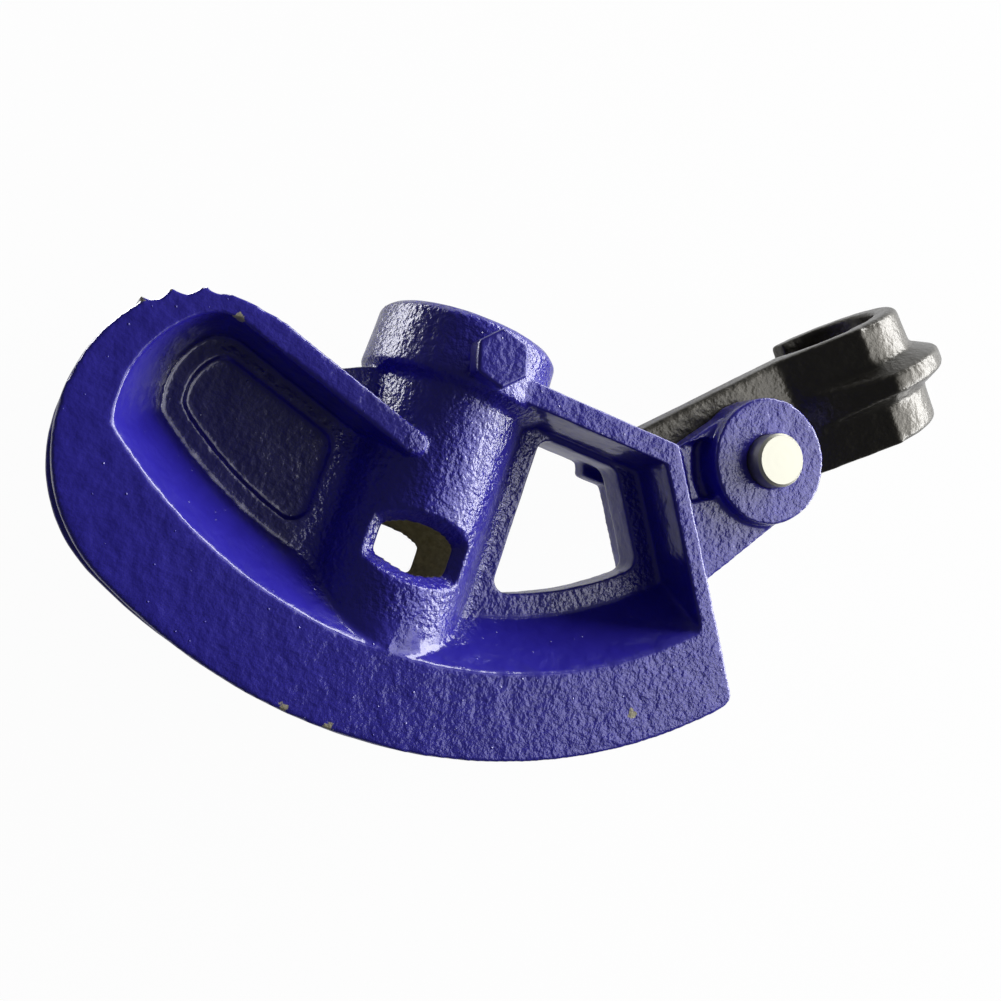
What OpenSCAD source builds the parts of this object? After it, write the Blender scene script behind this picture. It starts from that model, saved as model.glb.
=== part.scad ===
// Hand pipe bender head: a cast shoe with a grooved bend arc, a hook that swings on a pin,
// and a screw that clamps the handle tube. Sizes are in millimetres.
// The tool lies on its side. X runs towards the hook, Y runs along the handle socket and out of its
// mouth, Z is square to the shoe. The origin is the centre of the socket's mouth.

/* [Pipe] */
// Outside diameter of the pipe that is bent
pipe_d = 26.9; // [21:0.1:30]
// Room between the pipe and the groove, on the radius
pipe_room = 0.35; // [0.1:0.05:1]
// Bend radius, at the pipe's centre line
bend_r = 109.5; // [105:0.5:116]

/* [Shoe] */
// Wall of each flange beside the groove
flange_wall = 3.7; // [3:0.1:6]
// How far the flanges reach past the pipe's centre line
flange_reach = 8; // [4:0.1:11]
// Width of the flat outer face of a flange, along the radius
flange_face = 18; // [14:0.1:20]
// How far the wall behind the groove slopes inwards on its way down to the web
rim_slope = 10.8; // [7:0.1:14]
// Thickness of the web
web_t = 8; // [6:0.5:12]
// Angle from the socket's axis to the hook end of the bend arc
heel_angle = 43; // [38:1:48]
// Round of the corner where the bend arc meets the end wall
heel_round = 3.5; // [1:0.5:6]

/* [Toe] */
// Angle from the socket's axis to where the bend arc runs into the toe
toe_angle = 28.4; // [24:0.1:33]
// Radius of the toe, seen from the side
toe_r = 33.6; // [30:0.1:37]
// Radius of the toe's pocket at the flange face
toe_pocket_r = 24.6; // [20:0.2:27]
// How far the toe's pocket sits above the toe's centre
toe_pocket_rise = 3.9; // [0:0.1:6]
// Round where the toe's pocket runs into the pedal
toe_round = 8; // [5:0.5:10]
// How far the toe's wall slopes inwards on its way down to the web
toe_slope = 8; // [4:0.5:10]
// Inset of the sunk panel from the edge of the toe's web
panel_inset = 4.1; // [3:0.1:7]
// Depth of the sunk panel
panel_depth = 1.2; // [0.5:0.1:2]
// Round of the sunk panel's corners
panel_round = 4; // [2:0.5:6]

/* [Pedal] */
// Slope of the foot pedal
pedal_slope = 16.6; // [10:0.1:22]
// Thickness of the foot pedal
pedal_t = 5.2; // [4:0.1:8]
// How much the pedal's underside slopes on its way down to the web
pedal_draft = 0.3; // [0.2:0.1:1]
// Distance from the socket's mouth to the pedal's face, on the socket's axis
pedal_drop = 29.4; // [27:0.1:33]
// Distance along the pedal from the axis to its rounded end on the barrel
pedal_end = 5.7; // [3:0.1:8]
// How far past the toe's centre the pedal starts to bow
pedal_past = 5.7; // [2:0.1:8]
// Radius of the pedal's bowed outer end
pedal_bow_r = 40; // [36:1:50]
// Distance along the pedal from the axis to the foot of the gusset under the collar
gusset_run = 30.5; // [26:0.5:34]
// Number of teeth on the toe
tooth_count = 3; // [2:1:4]
// Distance between two teeth
tooth_pitch = 5.8; // [4.5:0.1:6.5]
// Depth of the hollows beside the teeth
tooth_depth = 1.6; // [1:0.1:2.2]
// Radius of the arc through the teeth's tips
tooth_arc_r = 20; // [16:1:30]
// Depth of the hollow past the last tooth, as a part of the others' depth
tooth_last = 0.4; // [0.3:0.05:0.6]
// Slope of the toothed edge in its middle
tooth_slope = 32.8; // [27:0.1:38]
// Distance from the toe's centre to the middle of the toothed edge
tooth_out = 34; // [33:0.1:36]
// Angle of the middle of the toothed edge, round the toe's centre
tooth_angle = 132.2; // [128:0.1:136]

/* [Handle socket] */
// Bore for the handle tube
socket_d = 27.2; // [24:0.1:30]
// Depth of the bore
socket_depth = 60; // [57:0.5:64]
// Metal between the end of the bore and the groove
socket_floor = 6.7; // [5:0.1:9]
// Wall of the barrel round the bore
barrel_wall = 3.6; // [3:0.1:5]
// How far the collar stands out from the barrel
collar_step = 3.2; // [1.5:0.1:5]
// Length of the collar
collar_l = 13.8; // [13:0.1:18]
// Height of the cone between the collar and the barrel
collar_cone = 2.2; // [1.5:0.1:4]
// Chamfer of the collar's rim
collar_chamfer = 1.5; // [0.5:0.1:2]
// How much narrower the collar is at its rim, on the radius
collar_draft = 0.4; // [0.1:0.1:1]
// Round between the barrel and the web
barrel_fillet = 4; // [2:0.5:4.5]
// Width of the windows in the barrel, at the bore
window_w = 15.4; // [12:0.2:17]
// Height of the windows in the barrel, at the bore
window_h = 9.4; // [8.6:0.2:11]
// Distance from the socket's mouth to the middle of the windows
window_drop = 49.1; // [47:0.1:51]
// How far the windows' sides open out for each millimetre of depth
window_flare = 1.4; // [0.6:0.1:1.8]
// How far the windows' upper and lower sides open out for each millimetre of depth
window_slope = 0.75; // [0.3:0.05:0.9]
// Round of the windows' corners, at the bore
window_round = 0.9; // [0.5:0.1:2]

/* [End wall and top bar] */
// Distance from the socket's mouth to the top bar's face
bar_drop = 8; // [7:0.1:9]
// Thickness of the top bar at its edge
bar_t = 5; // [4:0.1:7]
// How much the top bar's underside slopes on its way down to the web
bar_slope = 0.8; // [0.5:0.1:3]
// Distance from the end wall's upper corner to the pivot pin, along the top bar
heel_set = 23; // [21:0.1:25]
// Thickness of the end wall
end_wall_t = 4.4; // [3.5:0.1:7]
// Width of the web left round the large window
web_margin = 5.2; // [4.5:0.1:8]
// Width of the web left beside the barrel
barrel_margin = 4.8; // [4.2:0.1:7]
// Width of the web left under the top bar
bar_margin = 1.6; // [0.3:0.1:2.5]
// Thickness of the pad in the back corner between the top bar and the end wall
corner_pad = 5; // [3:0.5:8]
// Length of that pad along the top bar
pad_l = 8.6; // [6:0.1:10]
// How far that pad comes down from the top bar
pad_h = 3.4; // [2:0.1:5]
// How much that pad's end slopes
pad_slope = 2; // [1:0.5:3]
// Round of the large window's corners
web_round = 3; // [1:0.5:5]

/* [Lugs] */
// Distance from the socket's mouth down to the pivot pin
pin_drop = 2.8; // [1:0.1:4]
// Diameter of the pivot pin
pin_d = 12; // [10:0.5:14]
// How far the pin stands out of the front boss
pin_proud = 4.4; // [1:0.1:6]
// How far the pin stands out of the back boss
pin_back = 1; // [0.5:0.1:2]
// Chamfer of the pin's ends
pin_chamfer = 0.6; // [0.3:0.1:1]
// Gap between the two lugs
slot_w = 17.4; // [14:0.2:18]
// Diameter of the bosses round the pin
boss_d = 28.8; // [26:0.2:31]
// How far the bosses stand out of the lugs
boss_h = 3; // [2:0.1:4]
// How far the lugs' edges run inside the bosses' outline
lug_inset = 0.5; // [0.3:0.1:2]
// Distance along the end wall over which the lugs are rooted
lug_root = 31.5; // [26:0.5:34]
// Depth of the recess between each boss and the end wall
lug_step = 1.2; // [0.5:0.1:2]
// Length of that recess along the end wall
lug_step_l = 13.2; // [10:0.1:15]
// Width of the rim left round that recess
lug_rim = 1.6; // [1:0.1:2.5]
// Depth of the slot round the boss, in that recess
lug_slot = 3.8; // [2.5:0.1:4]
// Width of that slot
lug_slot_w = 3.2; // [2:0.1:4]

/* [Hook] */
// Angle of the open hook above the X axis
hook_open = 45; // [42:1:48]
// Distance from the pivot pin to the middle of the cup
cup_reach = 37.6; // [36:0.1:40]
// Room between the hook's cup and the pipe, on the radius
cup_room = 0.45; // [0.2:0.05:1]
// Wall of the cup
cup_wall = 5.9; // [4.5:0.1:8]
// How much thinner the cup is at its two edges
cup_draft = 0.5; // [0.1:0.1:1.2]
// Chamfer of the cup's outer edges
cup_chamfer = 1; // [0.3:0.1:1.5]
// How far round the cup's lip goes past its half circle, in degrees
lip_past = 3; // [0:1:8]
// Distance from the pivot line to the cup's outer edge
cup_ahead = 18.4; // [14:0.1:20]
// Distance from the pivot line to the cup's edge on the shoe's side
cup_behind = 11; // [9:0.1:12]
// Thickness of the hook's arm
arm_t = 7.5; // [6:0.1:10]
// Distance from the pin to where the arm starts to flare
flare_start = 17.5; // [17.2:0.1:19]
// How far the flare's crest lies short of the cup's centre
crest_back = 2.8; // [1:0.1:5]
// Diameter of the hook's hub
hub_d = 24; // [20:0.5:26]
// Play between the hub and each lug
hub_play = 0.3; // [0.2:0.05:0.6]
// Running clearance of the hub on the pin, on the radius
pin_run = 0.05; // [0.02:0.01:0.09]
// Gap left under the tail when it stops on the top bar
tail_gap = 0.4; // [0.3:0.05:0.8]
// Height of the cup's outer rib
rib_h = 5.4; // [3:0.1:7]
// Width of the rib at its root
rib_root = 9.8; // [7:0.1:12]
// Width of the rib at its crest
rib_crest = 4; // [2.5:0.1:6]
// How much narrower the rib is on the flare
rib_fade = 1; // [0.4:0.1:2]
// How far the rib ends short of the cup's lip, in degrees
rib_short = 12; // [8:1:20]

/* [Handle screw] */
// Diameter of the screw
screw_d = 6; // [5:0.5:8]
// Width of the hexagon head across its flats
screw_flats = 10.8; // [10:0.1:14]
// Height of the head
screw_head = 5.3; // [4:0.1:7]
// Turn of the hexagon
screw_turn = 47; // [0:1:60]
// Length of the screw under its head
screw_l = 8; // [7.6:0.1:9]
// Distance from the socket's mouth to the screw
screw_drop = 9; // [8:0.1:9.5]
// Running clearance of the screw in its hole, on the radius
screw_run = 0.05; // [0.02:0.01:0.09]
// How far the screw's tip is drawn back from the bore
screw_back = 0.4; // [0.2:0.1:1]

/* [Hidden] */
$fn = 96;

paint_blue = "#2a2590";
paint_black = "#26272a";
bright_steel = "#d6d6d2";

// Overlap that makes cuts clean, the small step between two neighbouring faces,
// and a length longer than the tool
over = 1;
step = 0.05;
far = 400;

// A direction in the plane of the shoe, by its angle from straight down the socket's axis
function down(angle) = [sin(angle), -cos(angle)];
// The same, from straight up and anticlockwise
function up(angle) = [-sin(angle), cos(angle)];
function unit(v) = v / norm(v);
// The direction a quarter turn anticlockwise from v
function left_of(v) = [-v.y, v.x];
// Where a line from p touches a circle: side 1 is the anticlockwise side, -1 the other
function touch(p, c, r, side) =
    let (v = p - c, turn = atan2(v.y, v.x) + side * acos(r / norm(v)))
    c + r * [cos(turn), sin(turn)];

groove_r = pipe_d / 2 + pipe_room;
half_w = groove_r + flange_wall;
flange_r = bend_r + flange_reach;
crest_r = flange_r - flange_face;
floor_r = crest_r - rim_slope;
half_web = web_t / 2;
// The bore's floor lies behind the groove, which sets the centre of the bend
bend_rise = bend_r - groove_r - socket_floor - socket_depth;
bend_c = [0, bend_rise];

toe_c = bend_c + (flange_r - toe_r) * down(-toe_angle);
toe_pocket_c = toe_c + [0, toe_pocket_rise];
toe_floor_r = toe_pocket_r - toe_slope;
toe_floor_c = toe_pocket_c + [0, 0.8 * toe_slope];

// The pedal's face runs from the axis up to the toe
pedal_dir = [-cos(pedal_slope), sin(pedal_slope)];
pedal_up = [sin(pedal_slope), cos(pedal_slope)];
pedal_axis = [0, -pedal_drop];
pedal_tip = pedal_axis + (pedal_end + pedal_t / 2) * pedal_dir;
pedal_bow = pedal_axis + ((toe_c - pedal_axis) * pedal_dir + pedal_past) * pedal_dir;
pedal_bow_c = pedal_bow - pedal_bow_r * pedal_up;

tooth_mid = toe_c + tooth_out * [cos(tooth_angle), sin(tooth_angle)];
tooth_scallop_r = tooth_pitch * tooth_pitch / (8 * tooth_depth) + tooth_depth / 2;
tooth_step = tooth_pitch / tooth_arc_r * 180 / PI;
tooth_fan = (tooth_count - 1) / 2 * tooth_step;

socket_r = socket_d / 2;
barrel_r = socket_r + barrel_wall;
collar_r = barrel_r + collar_step;
// The barrel's solid foot ends inside the rim, past the bottom of the groove
barrel_end = socket_depth + socket_floor + flange_wall;

// The closed hook's cup lies round the pipe where it leaves the bend arc, which sets the pin's place
pin_x = (bend_r - cup_reach - (bend_rise + pin_drop) * cos(heel_angle)) / sin(heel_angle);
pin_c = [pin_x, -pin_drop];
pin_r = pin_d / 2;
boss_r = boss_d / 2;
half_slot = slot_w / 2;
lug_face = half_w - boss_h;

// The end wall's outer face, from the top bar's corner down to the bend arc
heel_x = pin_x - heel_set;
heel_top = [heel_x, -bar_drop];
heel_low = bend_c + flange_r * down(heel_angle);
heel_dir = unit(heel_low - heel_top);
heel_in = -left_of(heel_dir);
heel_from = heel_top + heel_round * heel_in - bend_c;
heel_run = -heel_from * heel_dir
    + sqrt(pow(heel_from * heel_dir, 2) - heel_from * heel_from + pow(flange_r - heel_round, 2));
heel_round_c = bend_c + heel_from + heel_run * heel_dir;

cup_in = pipe_d / 2 + cup_room;
cup_out = cup_in + cup_wall;
arm_near = half_slot - hub_play;
arm_far = arm_near - arm_t;
crest = [cup_reach - crest_back, sqrt(cup_out * cup_out - crest_back * crest_back)];
crest_angle = atan2(crest.y, -crest_back);
lip_angle = -90 - lip_past;
flare_angle = atan2(crest.y - arm_near, crest.x - flare_start);
rib_r = cup_out + rib_h;
rib_mid = (cup_ahead - cup_behind) / 2;
// The tail lies on the top bar: its flat is worked out in the hook's own frame
arm_ahead = cup_ahead - step;
arm_behind = cup_behind - step;
tail_low = pin_drop - bar_drop + tail_gap;
tail_tip = [(tail_low - arm_ahead * cos(hook_open)) / sin(hook_open), arm_ahead];
tail_in = heel_x - pin_x + tail_gap + over;
tail_heel = [tail_in * cos(hook_open) + tail_low * sin(hook_open),
             tail_low * cos(hook_open) - tail_in * sin(hook_open)];

screw_r = screw_d / 2;
screw_tip = socket_r + screw_back;
screw_seat = screw_tip + screw_l;

// Seen from the side: the half of the plane under the pedal's face, moved down by drop
module under_pedal(drop) {
    translate(pedal_axis - drop * pedal_up)
        rotate(-pedal_slope)
            translate([-far, -far]) square([2 * far, far]);
}

// The half of the plane on the inner side of the end wall, moved inwards by inset
module inside_heel(inset) {
    translate(heel_top + inset * heel_in)
        rotate(atan2(heel_dir.y, heel_dir.x))
            translate([-far, -far]) square([2 * far, far]);
}

// Side view of the whole shoe without its barrel and lugs
module shoe_outline() {
    difference() {
        union() {
            intersection() {
                shoe_bounds();
                union() {
                    intersection() {
                        translate(bend_c) circle(flange_r, $fn = 360);
                        polygon([bend_c, bend_c + far * down(-toe_angle), [far, -far], [far, bend_rise]]);
                    }
                    translate(toe_c) circle(toe_r + step, $fn = 180);
                }
                union() {
                    translate(pedal_bow_c) circle(pedal_bow_r + step, $fn = 180);
                    translate(pedal_bow) rotate(-pedal_slope) translate([0, -far]) square([far, 2 * far]);
                }
            }
            toothed_edge() intersection() {
                circle(tooth_arc_r, $fn = 180);
                polygon([[0, 0], far * up(tooth_fan + over), far * up(-tooth_fan - tooth_step / 2)]);
            }
        }
        toothed_edge() for (i = [1 : tooth_count])
            translate((tooth_arc_r + tooth_scallop_r - (i < tooth_count ? 1 : tooth_last) * tooth_depth)
                      * up(tooth_fan - (i - 0.5) * tooth_step)) circle(tooth_scallop_r);
        heel_corner();
    }
}

// What bounds the shoe above and at the hook end: pedal, top bar and end wall
module shoe_bounds() {
    pedal_foot = pedal_tip - pedal_t * pedal_up;
    translate((pedal_tip + pedal_foot) / 2) circle(pedal_t / 2 - step);
    polygon([
        pedal_axis + far * pedal_dir, pedal_tip, pedal_foot,
        [0, -pedal_drop - pedal_t / cos(pedal_slope) - over],
        [0, -bar_drop], heel_top, heel_top + far * heel_dir, [-far, -far]
    ]);
}

// Frame of the toothed edge: its origin is the centre of the arc through the tips, Y points outwards
module toothed_edge() {
    translate(tooth_mid) rotate(tooth_slope) translate([0, -tooth_arc_r]) children();
}

// The sharp corner that the round at the end of the bend arc takes away
module heel_corner() {
    difference() {
        polygon([
            heel_round_c, heel_round_c - (heel_round + over) * heel_in,
            heel_low + far / 100 * (heel_dir + down(heel_angle)),
            heel_round_c + (heel_round + over) * unit(heel_round_c - bend_c)
        ]);
        translate(heel_round_c) circle(heel_round + step);
    }
}

// Side view of the pocket behind the toe, for one arc radius and one toe circle
module toe_pocket(arc_r, centre, radius, draft) {
    intersection() {
        translate(bend_c) circle(arc_r, $fn = 180);
        translate([-far, -far]) square([far, 2 * far]);
        offset(r = toe_round, $fn = 72) offset(delta = -toe_round) intersection() {
            under_pedal(pedal_t + draft);
            union() {
                translate(centre) circle(radius, $fn = 72);
                translate([centre.x, -far]) square([far, 2 * far]);
            }
        }
    }
}

// Side view of the pocket between the barrel and the end wall
module heel_pocket(arc_r, draft) {
    offset(r = web_round / 2, $fn = 24) offset(delta = -web_round / 2) intersection() {
        translate(bend_c) circle(arc_r, $fn = 180);
        inside_heel(end_wall_t);
        translate([0, -far]) square([far, far - bar_drop - bar_t - draft]);
    }
}

// A pocket with sloping walls: the first shape lies on the web, the second in the flange's face
module sloping_pocket() {
    hull() {
        translate([0, 0, half_web]) linear_extrude(over / 100) children(0);
        translate([0, 0, half_w]) linear_extrude(over) children(1);
    }
}

// The pockets of one side of the shoe
module pockets() {
    sloping_pocket() {
        toe_pocket(floor_r, toe_floor_c, toe_floor_r, pedal_draft);
        toe_pocket(crest_r, toe_pocket_c, toe_pocket_r, 0);
    }
    sloping_pocket() {
        heel_pocket(floor_r, bar_slope);
        heel_pocket(crest_r, 0);
    }
    translate([0, 0, half_web - panel_depth]) linear_extrude(panel_depth + over)
        offset(r = panel_round, $fn = 48) offset(delta = -panel_inset - panel_round) intersection() {
            toe_pocket(floor_r, toe_floor_c, toe_floor_r, 0);
            translate([-far - barrel_r, -far]) square([far, 2 * far]);
        }
}

// The groove that the pipe is drawn into
module groove() {
    translate([bend_c.x, bend_c.y, 0]) rotate_extrude($fn = 360) {
        translate([bend_r, 0]) circle(groove_r);
        translate([bend_r, -groove_r]) square([2 * flange_reach, 2 * groove_r]);
    }
}

// The handle socket's barrel and collar, solid
module barrel() {
    rotate([90, 0, 0]) rotate_extrude() polygon([
        [0, 0], [collar_r - collar_draft - collar_chamfer, 0], [collar_r - collar_draft, collar_chamfer],
        [collar_r, collar_l],
        [barrel_r, collar_l + collar_cone], [barrel_r, barrel_end], [0, barrel_end]
    ]);
}

// The rounds between the barrel and the web, on one side of the barrel and one side of the web
module barrel_round(from, to) {
    centre_y = half_web + barrel_fillet;
    centre = [sqrt(pow(barrel_r + barrel_fillet, 2) - centre_y * centre_y), centre_y];
    translate([0, -from, 0]) rotate([90, 0, 0]) linear_extrude(to - from) difference() {
        polygon([[barrel_r - barrel_wall / 2, 0], [centre.x, 0], centre, centre * 0.97 * barrel_r / norm(centre)]);
        translate(centre) circle(barrel_fillet);
    }
}

module barrel_rounds() {
    foot = socket_depth + socket_floor - barrel_fillet / 2;
    pedal_level = pedal_drop - barrel_r * tan(pedal_slope) + pedal_t / 2;
    for (z = [0, 1]) mirror([0, 0, z]) {
        barrel_round(bar_drop + bar_t / 2, foot);
        mirror([1, 0, 0]) barrel_round(pedal_level, foot);
    }
}

// The large window in the web beside the barrel
module web_window() {
    linear_extrude(2 * half_w, center = true)
        offset(r = web_round, $fn = 32) offset(delta = -web_round) intersection() {
            translate(bend_c) circle(floor_r - web_margin, $fn = 180);
            inside_heel(end_wall_t + web_margin);
            translate([barrel_r + barrel_margin, -far])
                square([far, far - bar_drop - bar_t - bar_slope - bar_margin]);
        }
}

// The gusset that runs from the collar down to the pedal
module gusset() {
    foot = pedal_axis + gusset_run * pedal_dir;
    translate([0, 0, -half_web]) linear_extrude(web_t) polygon([
        [0, -collar_l], [-collar_r, -collar_l - collar_cone], foot,
        foot - pedal_t / 2 * pedal_up, [0, -pedal_drop]
    ]);
}

// Outline of a barrel window at a distance from the socket's axis: it opens out towards the front
module window_outline(front, round) {
    side = window_w / 2 + window_flare * (front - sqrt(socket_r * socket_r - window_w * window_w / 4));
    end = window_h / 2 + window_slope * (front - socket_r);
    offset(r = round, $fn = 32) square([2 * (side - round), 2 * (end - round)], center = true);
}

// The pair of windows that pass through the barrel
module barrel_windows() {
    inner = socket_r - window_flare - over;
    outer = barrel_r + over;
    for (z = [0, 1]) mirror([0, 0, z]) translate([0, -window_drop, 0]) hull() {
        translate([0, 0, inner]) linear_extrude(over / 100) window_outline(inner, window_round);
        translate([0, 0, outer]) linear_extrude(over / 100) window_outline(outer, 2 * window_round);
    }
}

// The pad left in the back corner between the top bar and the end wall
module back_pad() {
    low = bar_drop + bar_t + pad_h;
    high = bar_drop + bar_t / 2;
    translate([0, 0, -half_w]) linear_extrude(corner_pad) polygon([
        [heel_x - pad_l, -high], [heel_x - pad_l + pad_slope, -low], [heel_x, -low], [heel_x, -high]
    ]);
}

// One lug with its boss, on the front of the shoe
module lug() {
    edge_r = boss_r - lug_inset;
    root_in = end_wall_t / 2 * heel_in;
    root_top = heel_top + over * heel_dir;
    root_low = heel_top + lug_root * heel_dir;
    difference() {
        translate([0, 0, half_slot]) linear_extrude(lug_face - half_slot) polygon([
            root_top + root_in, root_top, touch(root_top, pin_c, edge_r, -1),
            pin_c, touch(root_low, pin_c, edge_r, 1), root_low, root_low + root_in
        ]);
        translate([0, 0, lug_face - lug_step]) linear_extrude(lug_step + over) lug_recess();
        translate([0, 0, lug_face - lug_slot]) linear_extrude(lug_slot + over) intersection() {
            lug_recess();
            translate(pin_c) circle(boss_r + lug_slot_w);
        }
    }
    translate([pin_c.x, pin_c.y, half_slot]) cylinder(r = boss_r, h = half_w - half_slot);
}

// Side view of the recess between a boss and the end wall
module lug_recess() {
    intersection() {
        translate(heel_top - lug_rim * heel_in) rotate(atan2(heel_dir.y, heel_dir.x))
            square([lug_step_l, far]);
        translate(pin_c) rotate(atan2(heel_dir.y, heel_dir.x))
            translate([lug_rim + lug_inset - boss_r, -far]) square([far, far]);
    }
}

module bender_shoe() {
    color(paint_blue) difference() {
        union() {
            difference() {
                linear_extrude(2 * half_w, center = true) shoe_outline();
                for (z = [0, 1]) mirror([0, 0, z]) pockets();
                web_window();
            }
            barrel();
            barrel_rounds();
            gusset();
            back_pad();
            for (z = [0, 1]) mirror([0, 0, z]) lug();
        }
        groove();
        translate([0, over, 0]) rotate([90, 0, 0]) cylinder(r = socket_r, h = socket_depth + over);
        barrel_windows();
        translate([0, -screw_drop, 0]) cylinder(r = screw_r + screw_run, h = 2 * collar_r);
        translate([pin_c.x, pin_c.y, -half_w - over]) cylinder(r = pin_r, h = 2 * (half_w + over));
    }
}

// Section of the hook's arm and flare: X away from the pin, Y towards the front
module arm_section() {
    translate([-far, arm_far]) square([far + cup_reach, arm_t]);
    polygon([
        [flare_start, arm_near], crest, [cup_reach + over, cup_in + cup_wall / 2],
        [cup_reach + over, arm_far], [flare_start, arm_far]
    ]);
}

// The half-round cup, thickest under its rib
module hook_cup() {
    edge_r = cup_out - cup_draft;
    inner_r = cup_in - over;
    translate([cup_reach, 0, 0]) rotate([90, 0, 0]) rotate([0, 0, lip_angle])
        rotate_extrude(angle = crest_angle - lip_angle) polygon([
            [inner_r, -cup_ahead], [edge_r - cup_chamfer, -cup_ahead], [edge_r, cup_chamfer - cup_ahead],
            [cup_out, -rib_mid],
            [edge_r, cup_behind - cup_chamfer], [edge_r - cup_chamfer, cup_behind], [inner_r, cup_behind]
        ]);
}

// Side view of the hook in its own frame: X away from the pin, Y to its outer edge
module hook_outline() {
    tip = cup_reach + cup_out + over;
    polygon([
        tail_tip, tail_heel, [0, -0.9 * arm_behind], [arm_behind / 2, -arm_behind],
        [tip, -arm_behind], [tip, arm_ahead]
    ]);
    circle(hub_d / 2 - over);
}

// Section of the rib: X across, Y outwards from the surface it stands on
module rib_section(root, top) {
    foot = cup_wall / 2;
    polygon([
        [-root / 2, -foot], [root / 2, -foot], [root / 2, 0], [top / 2, rib_h], [-top / 2, rib_h], [-root / 2, 0]
    ]);
}

// The rib round the outside of the cup and, growing thinner, down the flare
module hook_rib() {
    far_end = lip_angle + rib_short;
    rib_top = [cup_reach, 0] + rib_r * [cos(crest_angle), sin(crest_angle)];
    translate([cup_reach, rib_mid, 0]) rotate([90, 0, 0]) rotate([0, 0, far_end])
        rotate_extrude(angle = crest_angle - far_end) translate([cup_out, 0]) rotate(-90)
            rib_section(rib_root, rib_crest);
    intersection() {
        translate([flare_start, rib_mid, arm_near]) rotate([0, -flare_angle, 0]) rotate([90, 0, 90])
            linear_extrude(norm(rib_top - [flare_start, arm_near]))
                rib_section(rib_root - rib_fade, rib_crest - rib_fade / 2);
        translate([0, rib_mid + rib_root, 0]) rotate([90, 0, 0]) linear_extrude(2 * rib_root) polygon([
            [flare_start + over, arm_near], rib_top - over / 4 * [0, 1],
            [cup_reach - over, cup_in + cup_wall / 2], [flare_start + 2 * over, arm_near - over]
        ]);
    }
}

module pipe_hook() {
    color(paint_black) translate([pin_c.x, pin_c.y, 0]) rotate(hook_open) difference() {
        union() {
            intersection() {
                rotate([90, 0, 0]) linear_extrude(far, center = true) arm_section();
                translate([0, 0, -far / 2]) linear_extrude(far) hook_outline();
            }
            hook_cup();
            hook_rib();
            translate([0, 0, -arm_near]) cylinder(d = hub_d, h = 2 * arm_near - step);
        }
        translate([cup_reach, 0, 0]) rotate([90, 0, 0]) cylinder(r = cup_in, h = far, center = true);
        translate([0, 0, -half_slot]) cylinder(r = pin_r + pin_run, h = slot_w);
    }
}

module pivot_pin() {
    back = half_w + pin_back;
    front = half_w + pin_proud;
    color(bright_steel) translate([pin_c.x, pin_c.y, 0]) rotate_extrude() polygon([
        [0, -back], [pin_r - pin_chamfer, -back], [pin_r, pin_chamfer - back],
        [pin_r, front - pin_chamfer], [pin_r - pin_chamfer, front], [0, front]
    ]);
}

module handle_screw() {
    color(paint_blue) translate([0, -screw_drop, 0]) {
        translate([0, 0, screw_tip]) cylinder(r = screw_r, h = screw_l + over);
        translate([0, 0, screw_seat]) rotate(screw_turn)
            cylinder(d = screw_flats / cos(30), h = screw_head, $fn = 6);
    }
}

bender_shoe();
pipe_hook();
pivot_pin();
handle_screw();
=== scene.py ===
# %% [markdown]
# # A hand pipe bender head, dressed for its picture
# The tool is a cast iron shoe with a grooved bend arc, a hook that swings on a steel pin, and a screw
# that clamps a handle tube. Its solids arrive exact and sharp. Real castings are neither: every edge is
# rounded by the sand mould and every face is a little uneven. This lesson keeps the sizes and adds that.

# %% Load the frame
import math

import bpy
from mathutils import Matrix, Vector


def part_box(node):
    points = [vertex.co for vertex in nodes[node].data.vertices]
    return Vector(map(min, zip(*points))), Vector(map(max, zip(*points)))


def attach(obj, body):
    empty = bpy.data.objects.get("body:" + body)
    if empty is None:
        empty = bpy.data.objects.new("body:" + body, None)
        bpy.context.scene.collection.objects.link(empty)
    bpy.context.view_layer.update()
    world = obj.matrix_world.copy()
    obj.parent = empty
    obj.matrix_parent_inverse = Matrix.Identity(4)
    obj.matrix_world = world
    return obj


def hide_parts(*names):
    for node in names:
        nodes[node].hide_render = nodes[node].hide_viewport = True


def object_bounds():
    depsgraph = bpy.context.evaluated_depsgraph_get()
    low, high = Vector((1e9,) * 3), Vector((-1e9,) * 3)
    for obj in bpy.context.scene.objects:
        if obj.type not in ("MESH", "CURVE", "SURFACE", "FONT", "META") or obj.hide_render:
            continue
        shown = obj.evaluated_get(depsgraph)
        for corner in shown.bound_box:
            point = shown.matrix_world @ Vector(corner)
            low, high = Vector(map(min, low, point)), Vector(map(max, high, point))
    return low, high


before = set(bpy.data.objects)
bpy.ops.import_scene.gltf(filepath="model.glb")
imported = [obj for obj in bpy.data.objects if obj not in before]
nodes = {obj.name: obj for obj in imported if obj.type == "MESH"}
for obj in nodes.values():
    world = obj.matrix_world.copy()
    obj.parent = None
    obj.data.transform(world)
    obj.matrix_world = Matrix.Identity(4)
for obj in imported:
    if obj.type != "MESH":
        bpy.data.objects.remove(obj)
cad_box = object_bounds()
MM = 0.001
bpy.context.scene.view_settings.view_transform = "Standard"
print("nodes:", sorted(nodes), "box in mm:", [[round(c / MM, 1) for c in corner] for corner in cad_box])

# %% [markdown]
# ## The camera
# The tool lies on its side and the photographer leans over it, so the camera looks down at a slant.
# A camera can be placed by a matrix, but a place, a point to look at and a roll are easier to read.
# The part's Y axis serves as the up direction before the roll.

# %% Place the camera
IMAGE_PX = 1001
FOCAL_PX = 1200
SENSOR_MM = 36
camera_place = Vector((-73.3, -70.4, 245.3)) * MM
camera_target = Vector((19.07, -31.27, 0)) * MM
CAMERA_ROLL = math.radians(18.53)

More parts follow.
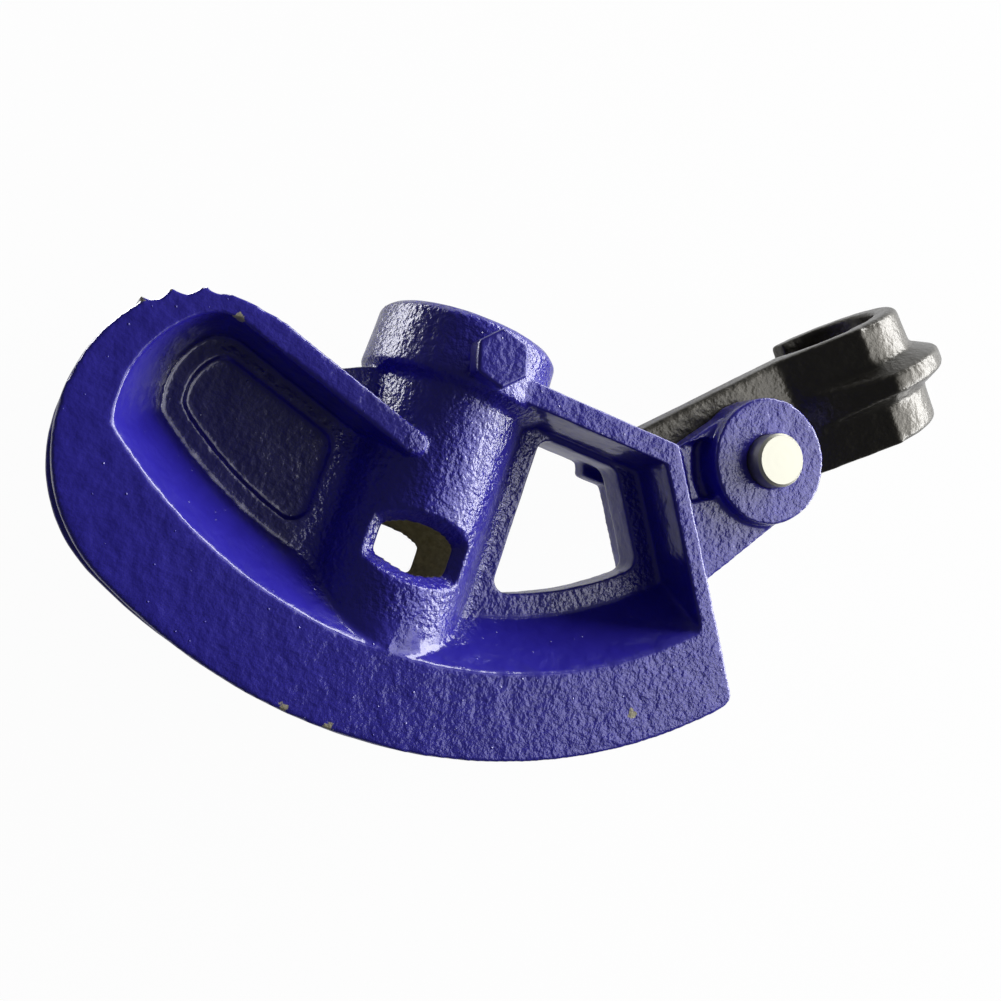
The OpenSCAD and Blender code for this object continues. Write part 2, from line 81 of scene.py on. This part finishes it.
forward = (camera_target - camera_place).normalized()
right = forward.cross(Vector((0, 1, 0))).normalized()
right.rotate(Matrix.Rotation(-CAMERA_ROLL, 3, forward))
up = right.cross(forward)

bpy.ops.object.select_all(action="DESELECT")
bpy.ops.object.camera_add()
camera = bpy.context.object
camera.name = "camera"
camera.matrix_world = Matrix((
    (right.x, up.x, -forward.x, camera_place.x),
    (right.y, up.y, -forward.y, camera_place.y),
    (right.z, up.z, -forward.z, camera_place.z),
    (0, 0, 0, 1),
))
camera.data.sensor_width = SENSOR_MM
camera.data.lens = SENSOR_MM * FOCAL_PX / IMAGE_PX
camera.data.clip_start = 10 * MM
bpy.context.scene.camera = camera
print("camera right", [round(c, 3) for c in right], "lens", round(camera.data.lens, 2))

# %% [markdown]
# ## Small helpers
# Paint colours are known as hex values on a screen, but a shader wants linear light, so one function
# converts them. Another adds a shader node with its settings and its links in one line, which keeps a
# material as short as its idea. Sums and ramps occur most often, so each gets a short form of its own.

# %% Colour and node helpers
def linear(hex_colour):
    """Linear RGBA from an sRGB hex colour."""
    channels = [int(hex_colour[i:i + 2], 16) / 255 for i in (1, 3, 5)]
    return [c / 12.92 if c <= 0.04045 else ((c + 0.055) / 1.055) ** 2.4 for c in channels] + [1.0]


def add_node(tree, kind, inputs=None, **settings):
    """A new node: settings are its properties, inputs are values or the sockets that feed it."""
    node = tree.nodes.new(kind)
    for name, value in settings.items():
        setattr(node, name, value)
    for socket, value in (inputs or {}).items():
        if isinstance(value, bpy.types.NodeSocket):
            tree.links.new(value, node.inputs[socket])
        else:
            node.inputs[socket].default_value = value
    return node


def calc(tree, operation, *values):
    """The result of one math node."""
    return add_node(tree, "ShaderNodeMath", dict(enumerate(values)), operation=operation).outputs[0]


def ramp(tree, value, start, end, low=0.0, high=1.0):
    """A straight ramp from low, where value is start, to high, where it is end, and level beyond."""
    return add_node(tree, "ShaderNodeMapRange", {"Value": value, "From Min": start, "From Max": end,
                                                 "To Min": low, "To Max": high}).outputs[0]


def two_tones(tree, share, dark, light):
    """A colour between two others."""
    return add_node(tree, "ShaderNodeMix", {0: share, 6: dark, 7: light}, data_type="RGBA").outputs[2]


def new_material(name):
    """A material with an empty node tree."""
    material = bpy.data.materials.new(name)
    material.use_nodes = True
    material.node_tree.nodes.clear()
    return material, material.node_tree


def per_mm(size_mm):
    """Texture scale at which a pattern repeats every size_mm."""
    return 1 / (size_mm * MM)


def select_only(obj):
    """Select one object and make it active."""
    bpy.ops.object.select_all(action="DESELECT")
    obj.select_set(True)
    bpy.context.view_layer.objects.active = obj


# %% [markdown]
# ## Floor and light
# The tool is photographed on a white sheet under soft studio light. The floor is a plain white sheet:
# what the camera and the glossy paint see of it is nearly white by itself, and the rest is lit, so a
# soft shadow stays. A wide, low soft box stands on the right: its light grazes the flat faces, brings out
# their grain and leaves the pockets dark. Four cards only show as reflections in the gloss: three high
# ones give the faces on the right their lavender sheen with a soft rim, and a low one that lies on the
# sheet behind the toe draws a silver band on the collar. The room is dim.

# %% Floor
FLOOR_SIZE = 6
FLOOR_GAP = 0.5 * MM
SHEET_WHITE = 0.97
SHEET_IN_GLOSS = 0.30
bpy.ops.mesh.primitive_plane_add(size=FLOOR_SIZE, location=(0, 0, cad_box[0][2] - FLOOR_GAP))
floor = bpy.context.object
floor.name = "floor"
sheet_white, tree = new_material("white_paper_sheet")
rays = add_node(tree, "ShaderNodeLightPath").outputs
mirrored = calc(tree, "MULTIPLY", rays["Is Glossy Ray"], SHEET_IN_GLOSS)
seen = calc(tree, "MAXIMUM", rays["Is Camera Ray"], rays["Is Transmission Ray"])
seen = calc(tree, "MAXIMUM", seen, mirrored)
own_light = calc(tree, "MULTIPLY", seen, SHEET_WHITE)
paper = add_node(tree, "ShaderNodeBsdfDiffuse", {"Color": linear("#f2f2f2")})
white = add_node(tree, "ShaderNodeEmission", {"Color": linear("#ffffff"), "Strength": 1.0})
sheet = add_node(tree, "ShaderNodeMixShader", {0: own_light, 1: paper.outputs[0], 2: white.outputs[0]})
add_node(tree, "ShaderNodeOutputMaterial", {"Surface": sheet.outputs[0]})
floor.data.materials.append(sheet_white)
print("floor height in mm:", round(floor.location.z / MM, 2))

# %% Soft boxes and cards
middle = Vector((20, -30, 0)) * MM
KEY_SIDE = (0.72, 0.56, 0.25)


def soft_box(name, direction, distance, size, watts):
    """A rectangular area light that faces the tool from a direction."""
    bpy.ops.object.select_all(action="DESELECT")
    bpy.ops.object.light_add(type="AREA", location=middle + Vector(direction).normalized() * distance)
    lamp = bpy.context.object
    lamp.name = name
    lamp.rotation_euler = (lamp.location - middle).to_track_quat("Z", "Y").to_euler()
    lamp.data.shape = "RECTANGLE"
    lamp.data.size, lamp.data.size_y = size
    lamp.data.energy = watts
    return lamp


def reflection_card(name, direction, distance, size, watts):
    """A soft box that shows in glossy paint but adds no diffuse light."""
    card = soft_box(name, direction, distance, size, watts)
    card.visible_diffuse = False
    card.visible_camera = False
    return card


soft_box("key_soft_box", KEY_SIDE, 1.1, (1.8, 0.45), 27)
reflection_card("high_card", (0.62, 0.38, 0.66), 1.1, (0.6, 0.5), 1.45)
reflection_card("high_wide_card", (0.62, 0.34, 0.70), 1.15, (1.1, 0.8), 3.8)
reflection_card("top_card", (0.60, -0.02, 0.78), 1.2, (0.6, 0.5), 1.2)
behind_toe = Vector((-155 * MM, 40 * MM, cad_box[0][2])) - middle
sheet_card = reflection_card("sheet_card", behind_toe, behind_toe.length, (0.18, 0.11), 0.55)
sheet_card.rotation_euler = (math.pi, 0, 0)

# %% The room
ROOM_DARK = 0.12
ROOM_LIGHT = 0.4
LIGHT_SIDE_FROM = 0.2
world = bpy.data.worlds.new("studio_room")
bpy.context.scene.world = world
world.use_nodes = True
tree = world.node_tree
tree.nodes.clear()
look = add_node(tree, "ShaderNodeTexCoord").outputs["Generated"]
towards_key = add_node(tree, "ShaderNodeVectorMath", {0: look, 1: Vector(KEY_SIDE).normalized()},
                       operation="DOT_PRODUCT").outputs["Value"]
bright = ramp(tree, towards_key, LIGHT_SIDE_FROM, 1.0, ROOM_DARK, ROOM_LIGHT)
room = add_node(tree, "ShaderNodeBackground", {"Color": linear("#d8dae2"), "Strength": bright})
add_node(tree, "ShaderNodeOutputWorld", {"Surface": room.outputs[0]})
print("room strength from", ROOM_DARK, "to", ROOM_LIGHT)

# %% [markdown]
# ## Materials
# Blue enamel: a thick alkyd gloss over rough cast iron. The paint film flows, so the grain of the sand
# shows through as soft lumps, one to two millimetres across, like orange peel. On the slopes of the
# pockets, where the pattern was drawn from the sand, the casting is smoother; on the barrel and on the
# pocket floors it is rougher. The floor of the toe pocket is painted darker: painted shade, where the
# pedal wall and the pocket's walls shadow it. A few nibs of dust are caught in the film. The clear gloss
# follows the grain too, so its normal is linked: without that link a highlight lies on rough paint like a
# strip of smooth tape.

# %% Grain of a painted casting
LUMP_MM = 5.0
GRAIN_DEPTH_MM = 1.40
LUMP_SHARE = 0.25


def cast_grain(tree, place, grain_mm, amount):
    """Bump of painted sand casting: small grains on wider lumps. Returns the normal and the lumps."""
    lumps = add_node(tree, "ShaderNodeTexNoise",
                     {"Vector": place, "Scale": per_mm(LUMP_MM), "Detail": 2.0, "Roughness": 0.5})
    grains = add_node(tree, "ShaderNodeTexNoise",
                      {"Vector": place, "Scale": per_mm(grain_mm), "Detail": 2.0, "Roughness": 0.55})
    wide = add_node(tree, "ShaderNodeBump", {"Height": lumps.outputs[0], "Distance": GRAIN_DEPTH_MM * MM,
                                             "Strength": LUMP_SHARE})
    fine = add_node(tree, "ShaderNodeBump", {"Height": grains.outputs[0], "Distance": GRAIN_DEPTH_MM * MM,
                                             "Strength": amount, "Normal": wide.outputs[0]})
    return fine.outputs[0], lumps.outputs[0]


# %% Where the shoe is rough
TOE_GRAIN = 0.08
HEEL_GRAIN = 0.24
HEEL_X_MM = 60
SLOPE_GRAIN = 0.04
SLOPE_FACING = 0.97
FLAT_FACING = 0.995
BARREL_GRAIN = 0.36
BARREL_MM = 20
BARREL_FOOT_MM = -63.5
BARREL_FADE_MM = 3
FLOOR_GRAIN = 1.4
FLOOR_Z_MM = 5
FLOOR_FADE_MM = 2
SHADE_X_MM = -20
SHADE_FADE_MM = 4
blue_enamel, tree = new_material("blue_alkyd_enamel")
coordinates = add_node(tree, "ShaderNodeTexCoord").outputs
place = coordinates["Object"]
along = add_node(tree, "ShaderNodeSeparateXYZ", {0: place}).outputs
facing = add_node(tree, "ShaderNodeSeparateXYZ", {0: coordinates["Normal"]}).outputs
across = add_node(tree, "ShaderNodeVectorMath", {0: place, 1: (1, 0, 1)}, operation="MULTIPLY").outputs[0]
from_axis = add_node(tree, "ShaderNodeVectorMath", {0: across}, operation="LENGTH").outputs["Value"]
flatness = calc(tree, "ABSOLUTE", facing["Z"])
height = calc(tree, "ABSOLUTE", along["Z"])

to_heel = ramp(tree, along["X"], -HEEL_X_MM * MM, HEEL_X_MM * MM, TOE_GRAIN, HEEL_GRAIN)
on_flat = ramp(tree, flatness, SLOPE_FACING, FLAT_FACING, SLOPE_GRAIN, to_heel)
near_axis = ramp(tree, from_axis, (BARREL_MM + BARREL_FADE_MM) * MM, BARREL_MM * MM)
above_foot = ramp(tree, along["Y"], (BARREL_FOOT_MM - BARREL_FADE_MM) * MM, BARREL_FOOT_MM * MM,
                  high=BARREL_GRAIN)
on_barrel = calc(tree, "MULTIPLY", near_axis, above_foot)
on_floor = ramp(tree, height, (FLOOR_Z_MM + FLOOR_FADE_MM) * MM, FLOOR_Z_MM * MM)
pitted = ramp(tree, on_floor, 0.0, 1.0, 1.0, FLOOR_GRAIN)
grainy = calc(tree, "MULTIPLY", calc(tree, "MAXIMUM", on_flat, on_barrel), pitted)
# Painted shade: the floor of the toe pocket is darkened where the pedal wall and the pocket walls shadow it.
in_toe = ramp(tree, along["X"], SHADE_X_MM * MM, (SHADE_X_MM - SHADE_FADE_MM) * MM)
toe_floor_painted_shade = calc(tree, "MULTIPLY", in_toe, on_floor)
print("nodes that place the grain:", len(tree.nodes))

# %% Blue enamel over cast iron
SHOE_GRAIN_MM = 1.3
DUST_MM = 3.4
NIB_FOOT = 0.08
NIB_TOP = 0.02
NIB_MM = 0.3
normal, lumps = cast_grain(tree, place, SHOE_GRAIN_MM, grainy)
dust = add_node(tree, "ShaderNodeTexVoronoi", {"Vector": place, "Scale": per_mm(DUST_MM)})
nibs = ramp(tree, dust.outputs["Distance"], NIB_FOOT, NIB_TOP)
normal = add_node(tree, "ShaderNodeBump", {"Height": nibs, "Distance": NIB_MM * MM, "Strength": 0.5,
                                           "Normal": normal}).outputs[0]
even = two_tones(tree, lumps, linear("#251c96"), linear("#3128ac"))
# Painted shade: the toe pocket floor is mixed toward a deeper blue, standing in for the shadow of the pedal
# wall.
tone = two_tones(tree, toe_floor_painted_shade, even, linear("#1d1678"))
paint = add_node(tree, "ShaderNodeBsdfPrincipled", {
    "Base Color": tone, "Roughness": 0.30, "IOR": 1.5, "Normal": normal, "Specular IOR Level": 0.3,
    "Coat Weight": 0.8, "Coat Roughness": 0.10, "Coat Normal": normal,
})
print("nodes with the paint:", len(tree.nodes))

# %% [markdown]
# The bore of the handle socket is left unpainted, and the paint is knocked off in a few small places: on
# the teeth, on the pedal's edge and along the flange. Bare cast iron shows there, dull and olive from old
# oil. One mask serves both: it is wide where a point lies in the bore or near a chip, and a noise makes its
# edge ragged. The bore ends at its floor, so the groove beyond it keeps its paint.

# %% Bare iron in the bore and the chips
SOCKET_R = 13.6
SOCKET_DEEP = 60
BORE_SKIN = 0.3
BORE_EDGE = 10
CHIPS_MM = [
    ((-67.1, -23.4, 17.5), 1.0), ((-62.7, -19.6, 17.5), 0.8), ((-57.5, -17.2, 17.5), 0.6),
    ((-49.1, -20.1, 17.0), 1.0), ((56.7, -66.4, 17.5), 1.2), ((-6.4, -87.7, 17.5), 1.0),
    ((-16.1, -86.5, 17.5), 0.8),
]
RAGGED_MM = 1.1
RAGGED_DEEP_MM = 3.0
PAINT_ENDS_MM = 1.50
IRON_STARTS_MM = 1.75
ragged = add_node(tree, "ShaderNodeTexNoise", {"Vector": place, "Scale": per_mm(RAGGED_MM), "Detail": 3.0})
ragged = ragged.outputs[0]
in_bore = calc(tree, "MULTIPLY_ADD", from_axis, -BORE_EDGE, BORE_EDGE * (SOCKET_R + BORE_SKIN) * MM)
above_floor = calc(tree, "MULTIPLY_ADD", along["Y"], BORE_EDGE, BORE_EDGE * (SOCKET_DEEP + BORE_SKIN) * MM)
inside = calc(tree, "MINIMUM", in_bore, above_floor)
for centre, radius in CHIPS_MM:
    away = add_node(tree, "ShaderNodeVectorMath", {0: place, 1: Vector(centre) * MM}, operation="DISTANCE")
    inside = calc(tree, "MAXIMUM", inside, calc(tree, "SUBTRACT", radius * MM, away.outputs["Value"]))
torn = calc(tree, "MULTIPLY_ADD", ragged, RAGGED_DEEP_MM * MM, inside)
bare = ramp(tree, torn, PAINT_ENDS_MM * MM, IRON_STARTS_MM * MM)
iron = add_node(tree, "ShaderNodeBsdfPrincipled", {
    "Base Color": two_tones(tree, ragged, linear("#7c775e"), linear("#c4bda2")),
    "Roughness": 0.55, "Normal": normal,
})
skin = add_node(tree, "ShaderNodeMixShader", {0: bare, 1: paint.outputs[0], 2: iron.outputs[0]})
add_node(tree, "ShaderNodeOutputMaterial", {"Surface": skin.outputs[0]})
print("chips:", len(CHIPS_MM))

# %% Black paint of the hook
HOOK_GRAIN_MM = 1.5
HOOK_GRAIN = 0.18
black_paint, tree = new_material("black_gloss_paint")
place = add_node(tree, "ShaderNodeTexCoord").outputs["Object"]
normal, lumps = cast_grain(tree, place, HOOK_GRAIN_MM, HOOK_GRAIN)
paint = add_node(tree, "ShaderNodeBsdfPrincipled", {
    "Base Color": two_tones(tree, lumps, linear("#141412"), linear("#2a2924")),
    "Roughness": 0.42, "IOR": 1.5, "Normal": normal, "Specular Tint": linear("#fff4dc"),
    "Coat Weight": 0.6, "Coat Roughness": 0.22, "Coat Normal": normal,
})
add_node(tree, "ShaderNodeOutputMaterial", {"Surface": paint.outputs[0]})

# %% Turned bright steel of the pin
TURNING_MM = 0.35
WAVE_RINGS = 20
TURNING_DEEP_MM = 0.01
pin_low, pin_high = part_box("pivot_pin")
pin_axis = [(a + b) / 2 for a, b in zip(pin_low, pin_high)]
bright_steel, tree = new_material("turned_bright_steel")
place = add_node(tree, "ShaderNodeTexCoord").outputs["Object"]
centred = add_node(tree, "ShaderNodeMapping", {"Vector": place, "Location": [-pin_axis[0], -pin_axis[1], 0]})
flat = add_node(tree, "ShaderNodeVectorMath", {0: centred.outputs[0], 1: (1, 1, 0)}, operation="MULTIPLY")
ring_scale = per_mm(TURNING_MM) / WAVE_RINGS
rings = add_node(tree, "ShaderNodeTexWave",
                 {"Vector": flat.outputs[0], "Scale": ring_scale, "Distortion": 0.6, "Detail": 2.0},
                 wave_type="RINGS", rings_direction="SPHERICAL")
turning = add_node(tree, "ShaderNodeBump", {"Height": rings.outputs[1], "Distance": TURNING_DEEP_MM * MM,
                                            "Strength": 0.35})
steel = add_node(tree, "ShaderNodeBsdfPrincipled", {
    "Base Color": linear("#b8b7ab"), "Metallic": 1.0, "Roughness": 0.50, "Normal": turning.outputs[0]})
add_node(tree, "ShaderNodeOutputMaterial", {"Surface": steel.outputs[0]})
print("materials:", [m.name for m in bpy.data.materials])

# %% [markdown]
# ## The castings
# A sand casting has no sharp edge. A bevel needs clean edge loops, which a triangulated solid lacks, so
# a copy of the solid is turned into an even skin of small cells. Smoothing that skin rounds every edge
# and fills every inner corner by about the same radius, as the mould does. A soft noise field then
# pushes it in and out by less than a tenth of a millimetre.

# %% Skin of a casting
LUMP_DEPTH_MM = 0.08
WELD_MM = 0.001
CRISP_SHARE = 0.3


def triangle_count(piece):
    """Triangles of a mesh, with wider faces counted as fans."""
    return sum(len(face.vertices) - 2 for face in piece.data.polygons)


def cast_skin(piece, cell_mm, passes, triangles, crisp_mm=()):
    """Even cells, rounded edges and a slightly uneven face; near a crisp place the edges stay sharper."""
    select_only(piece)
    bpy.ops.object.mode_set(mode="EDIT")
    bpy.ops.mesh.select_all(action="SELECT")
    bpy.ops.mesh.remove_doubles(threshold=WELD_MM * MM)
    bpy.ops.object.mode_set(mode="OBJECT")
    cells = piece.modifiers.new("cells", "REMESH")
    cells.mode = "VOXEL"
    cells.voxel_size = cell_mm * MM
    bpy.ops.object.modifier_apply(modifier="cells")
    soft = piece.vertex_groups.new(name="soft")
    soft.add(range(len(piece.data.vertices)), 1.0, "REPLACE")
    for centre, radius in crisp_mm:
        spot = Vector(centre) * MM
        near = [v.index for v in piece.data.vertices if (v.co - spot).length < radius * MM]
        soft.add(near, CRISP_SHARE, "REPLACE")
    rounding = piece.modifiers.new("rounding", "SMOOTH")
    rounding.factor = 0.5
    rounding.iterations = passes
    rounding.vertex_group = "soft"
    lumps = bpy.data.textures.new(piece.name + "_lumps", "CLOUDS")
    lumps.noise_scale = LUMP_MM * MM
    lumps.noise_depth = 1
    uneven = piece.modifiers.new("uneven", "DISPLACE")
    uneven.texture = lumps
    uneven.texture_coords = "LOCAL"
    uneven.strength = 2 * LUMP_DEPTH_MM * MM
    uneven.mid_level = 0.5
    for modifier in ("rounding", "uneven"):
        bpy.ops.object.modifier_apply(modifier=modifier)
    piece.vertex_groups.clear()
    count = triangle_count(piece)
    if count > triangles:
        thin = piece.modifiers.new("thin", "DECIMATE")
        thin.ratio = triangles / count
        bpy.ops.object.modifier_apply(modifier="thin")
    bpy.ops.object.shade_smooth()
    print(piece.name, "cells", count, "triangles, kept", triangle_count(piece))


def solid_copy(node, name):
    """A copy of a solid's mesh as a new piece, without material."""
    piece = bpy.data.objects.new(name, nodes[node].data.copy())
    bpy.context.scene.collection.objects.link(piece)
    piece.data.materials.clear()
    return piece


# %% Shoe
TEETH_MM = [((-62.7, -19.6, z), 12) for z in (-17.5, -6, 6, 17.5)]
WINDOWS_MM = [((0, -49.1, z), 13) for z in (-14, 14)]
shoe = solid_copy("bender_shoe", "cast_shoe")
cast_skin(shoe, 0.5, 8, 195000, TEETH_MM + WINDOWS_MM)
shoe.data.materials.append(blue_enamel)
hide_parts("bender_shoe")
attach(shoe, "shoe")

# %% Hook
hook = solid_copy("pipe_hook", "cast_hook")
cast_skin(hook, 0.45, 24, 150000)
hook.data.materials.append(black_paint)
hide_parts("pipe_hook")
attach(hook, "hook")

# %% [markdown]
# ## The handle screw
# A hexagon screw clamps the handle tube. Its head was painted together with the shoe, so its corners are
# rounded by the paint, while the thread is bare steel. The head is a six-sided cylinder whose edges are
# bevelled. The thread is one small triangle that a Screw modifier winds round a core.

# %% Screw head
HEAD_FLATS = 10.8 * MM
HEAD_H = 5.3 * MM
HEAD_TURN = math.radians(17)
HEAD_BEVEL = 0.6 * MM
screw_low, screw_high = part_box("handle_screw")
screw_x = (screw_low[0] + screw_high[0]) / 2
screw_y = (screw_low[1] + screw_high[1]) / 2
seat_z = screw_high[2] - HEAD_H
bpy.ops.object.select_all(action="DESELECT")
bpy.ops.mesh.primitive_cylinder_add(
    vertices=6, radius=HEAD_FLATS / 2 / math.cos(math.radians(30)), depth=HEAD_H,
    location=(screw_x, screw_y, seat_z + HEAD_H / 2), rotation=(0, 0, HEAD_TURN))
screw = bpy.context.object
screw.name = "clamp_screw"
bpy.ops.object.transform_apply(location=True, rotation=True)
bpy.ops.object.mode_set(mode="EDIT")
bpy.ops.mesh.select_all(action="SELECT")
bpy.ops.mesh.bevel(offset=HEAD_BEVEL, segments=2, affect="EDGES")
bpy.ops.object.mode_set(mode="OBJECT")
cast_skin(screw, 0.25, 5, 40000)
screw.data.materials.append(blue_enamel)

# %% Screw core
THREAD_R = 3.0 * MM
THREAD_DEEP = 0.55 * MM
PITCH = 1.0 * MM
CORE_IN_HEAD = 0.5 * MM
CORE_BEVEL = 0.5 * MM
core_r = THREAD_R - THREAD_DEEP
core_top = seat_z + CORE_IN_HEAD
core_l = core_top - screw_low[2]
bpy.ops.object.select_all(action="DESELECT")
bpy.ops.mesh.primitive_cylinder_add(vertices=48, radius=core_r, depth=core_l,
                                    location=(screw_x, screw_y, screw_low[2] + core_l / 2))
core = bpy.context.object
bpy.ops.object.transform_apply(location=True)
bpy.ops.object.mode_set(mode="EDIT")
bpy.ops.mesh.select_all(action="SELECT")
bpy.ops.mesh.bevel(offset=CORE_BEVEL, segments=1, affect="EDGES", clamp_overlap=True)
bpy.ops.object.mode_set(mode="OBJECT")
core.data.materials.append(bright_steel)
print("core length in mm:", round(core_l / MM, 2))

# %% Screw thread
TURN_STEPS = 32
THREAD_START = 0.8 * PITCH
bpy.ops.object.select_all(action="DESELECT")
bpy.ops.mesh.primitive_circle_add(vertices=3, radius=THREAD_DEEP, location=(core_r, 0, 0),
                                  rotation=(math.pi / 2, math.pi / 2, 0))
thread = bpy.context.object
bpy.ops.object.transform_apply(location=True, rotation=True)
winding = thread.modifiers.new("winding", "SCREW")
winding.screw_offset = PITCH
winding.iterations = int(core_l / PITCH) - 1
winding.steps = TURN_STEPS
winding.render_steps = TURN_STEPS
bpy.ops.object.modifier_apply(modifier="winding")
thread.location = (screw_x, screw_y, screw_low[2] + THREAD_START)
bpy.ops.object.transform_apply(location=True)
bpy.ops.object.mode_set(mode="EDIT")
bpy.ops.mesh.select_all(action="SELECT")
bpy.ops.mesh.remove_doubles(threshold=WELD_MM * MM)
bpy.ops.mesh.fill_holes(sides=3)
bpy.ops.mesh.normals_make_consistent(inside=False)
bpy.ops.object.mode_set(mode="OBJECT")
thread.data.materials.append(bright_steel)

# %% Screw in one piece
select_only(screw)
core.select_set(True)
thread.select_set(True)
bpy.ops.object.join()
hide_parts("handle_screw")
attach(screw, "screw")
print("screw faces:", len(screw.data.polygons), "materials:", [m.name for m in screw.data.materials])

# %% Pin keeps its solid
nodes["pivot_pin"].data.materials.clear()
nodes["pivot_pin"].data.materials.append(bright_steel)
